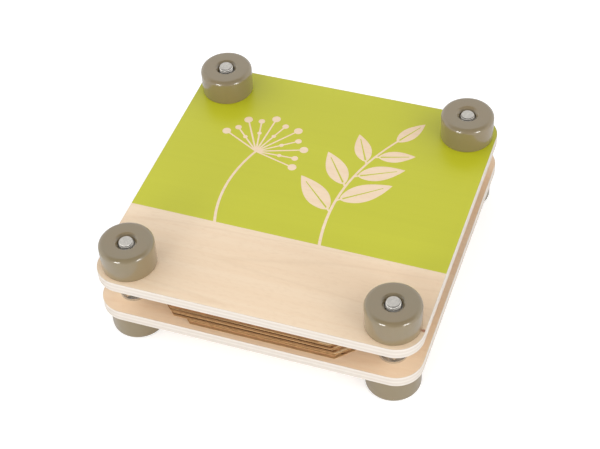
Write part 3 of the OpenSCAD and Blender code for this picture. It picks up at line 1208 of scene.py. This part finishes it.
def lay_floor(scene):
    """Pale matt floor that glows a little to the camera alone."""
    glow_to_camera = 0.5
    mesh = bpy.data.meshes.new("floor")
    corners = [(x * FLOOR_HALF, y * FLOOR_HALF, 0) for x, y in ((-1, -1), (1, -1), (1, 1), (-1, 1))]
    mesh.from_pydata(corners, [], [(0, 1, 2, 3)])
    floor = bpy.data.objects.new("floor", mesh)
    scene.collection.objects.link(floor)
    made = bpy.data.materials.new("Floor")
    made.use_nodes = True
    tree = made.node_tree
    tree.nodes.clear()
    seen = add(tree, "ShaderNodeLightPath").outputs["Is Camera Ray"]
    matt = add(tree, "ShaderNodeBsdfDiffuse", {"Color": rgba(scene.press_colours.floor)}).outputs[0]
    strength = calc(tree, "MULTIPLY", seen, glow_to_camera)
    glow = add(tree, "ShaderNodeEmission", {"Strength": strength}).outputs[0]
    both = add(tree, "ShaderNodeAddShader", {0: matt, 1: glow}).outputs[0]
    add(tree, "ShaderNodeOutputMaterial", {"Surface": both})
    mesh.materials.append(made)


def light_studio(scene):
    """A tent that is bright at the sides and dim above, and white to the camera. Gloss and metal
    see it white too, with a dark front."""
    side_light, top_light, top_from, top_to = 1.08, 0.12, 0.55, 0.85
    horizon_loss, horizon_to = 0.55, 0.25
    front_loss, glow_gain = 0.7, 0.95
    world = bpy.data.worlds.new("Studio")
    scene.world = world
    world.use_nodes = True
    tree = world.node_tree
    tree.nodes.clear()
    rays = add(tree, "ShaderNodeLightPath").outputs
    seen = calc(tree, "MAXIMUM", rays["Is Glossy Ray"], rays["Is Transmission Ray"])
    seen = calc(tree, "MAXIMUM", rays["Is Camera Ray"], seen)
    way = add(tree, "ShaderNodeTexCoord").outputs["Generated"]

    def facing(target, low, high):
        """How far a way of looking agrees with a target's."""
        values = {0: way, 1: target}
        product = add(tree, "ShaderNodeVectorMath", values, operation="DOT_PRODUCT")
        return spread(tree, product.outputs["Value"], low, high)

    height = add(tree, "ShaderNodeSeparateXYZ", {"Vector": way}).outputs["Z"]
    tent = add(tree, "ShaderNodeMapRange", {
        "Value": height, "From Min": top_from, "From Max": top_to, "To Min": side_light, "To Max": top_light,
    }, clamp=True).outputs[0]
    horizon = calc(tree, "SUBTRACT", 1, spread(tree, height, 0, horizon_to))
    tent = calc(tree, "MULTIPLY_ADD", horizon, -horizon_loss, tent)
    dark = calc(tree, "MULTIPLY", facing(FRONT_WAY, 0.2, 0.6), rays["Is Glossy Ray"])
    white = calc(tree, "MULTIPLY_ADD", dark, -front_loss, 1)
    for side in SIDE_WAYS:
        tent = calc(tree, "MULTIPLY_ADD", facing(side, 0.75, 0.98), glow_gain, tent)
    strength = add(tree, "ShaderNodeMix", {0: seen, 2: tent, 3: white}).outputs[0]
    sky = add(tree, "ShaderNodeBackground", {"Color": (1, 1, 1, 1), "Strength": strength}).outputs[0]
    add(tree, "ShaderNodeOutputWorld", {"Surface": sky})


def softbox(name, azimuth, elevation, away, wide, tall, watts):
    """A flat lamp that looks at the press from an azimuth and an elevation in degrees."""
    lamp = bpy.data.lights.new(name, "AREA")
    lamp.shape = "RECTANGLE"
    lamp.size, lamp.size_y, lamp.energy = wide, tall, watts
    holder = bpy.data.objects.new(name, lamp)
    bpy.context.scene.collection.objects.link(holder)
    turn, rise = math.radians(azimuth), math.radians(elevation)
    toward_lamp = Vector((math.cos(turn) * math.cos(rise), math.sin(turn) * math.cos(rise), math.sin(rise)))
    holder.location = (CAD_BOX[0] + CAD_BOX[1]) / 2 + toward_lamp * away
    holder.rotation_euler = toward_lamp.to_track_quat("Z", "Y").to_euler()


def set_up_camera(scene):
    """The camera at the photograph's angle."""
    camera = bpy.data.objects.new("camera", bpy.data.cameras.new("camera"))
    scene.collection.objects.link(camera)
    camera.data.sensor_width = 36
    camera.data.lens = CAMERA_LENS
    camera.data.clip_start = 0.01
    camera.location = CAMERA_PLACE
    azimuth, tilt, roll = (
        Matrix.Rotation(math.radians(turn), 3, axis) for turn, axis in zip(CAMERA_TURNS, "ZXZ")
    )
    camera.rotation_euler = (azimuth @ tilt @ roll).to_euler()
    scene.camera = camera


class PRESS_OT_stage(bpy.types.Operator):
    """Set up the floor, the light and the camera"""

    bl_idname = "press.stage"
    bl_label = "Floor, light and camera"

    def execute(self, context):
        context.scene.view_settings.view_transform = "Standard"
        lay_floor(context.scene)
        light_studio(context.scene)
        for lamp in LAMPS:
            softbox(*lamp)
        set_up_camera(context.scene)
        return {"FINISHED"}


class PRESS_PT_panel(bpy.types.Panel):
    """Sizes, colours and steps of the flower press"""

    bl_idname = "PRESS_PT_panel"
    bl_label = "Flower press"
    bl_space_type = "VIEW_3D"
    bl_region_type = "UI"
    bl_category = "Flower press"

    def draw(self, context):
        for step in STEPS:
            self.layout.operator(step.bl_idname)
        for group in (context.scene.press_sizes, context.scene.press_colours):
            box = self.layout.box()
            for key in group.__annotations__:
                box.prop(group, key)


STEPS = (
    PRESS_OT_bottom_board,
    PRESS_OT_top_board,
    PRESS_OT_knobs,
    PRESS_OT_feet,
    PRESS_OT_bolts,
    PRESS_OT_nuts_and_washers,
    PRESS_OT_cardboard,
    PRESS_OT_blotting_paper,
    PRESS_OT_stage,
)
CLASSES = (PressSizes, PressColours, *STEPS, PRESS_PT_panel)


def register():
    for made in CLASSES:
        bpy.utils.register_class(made)
    bpy.types.Scene.press_sizes = PointerProperty(type=PressSizes)
    bpy.types.Scene.press_colours = PointerProperty(type=PressColours)


def unregister():
    del bpy.types.Scene.press_colours
    del bpy.types.Scene.press_sizes
    for made in reversed(CLASSES):
        bpy.utils.unregister_class(made)


def main():
    register()
    bpy.ops.press.bottom_board()
    bpy.ops.press.top_board()
    bpy.ops.press.knobs()
    bpy.ops.press.feet()
    bpy.ops.press.bolts()
    bpy.ops.press.nuts_and_washers()
    bpy.ops.press.cardboard()
    bpy.ops.press.blotting_paper()
    bpy.ops.press.stage()


if __name__ == "__main__":
    main()
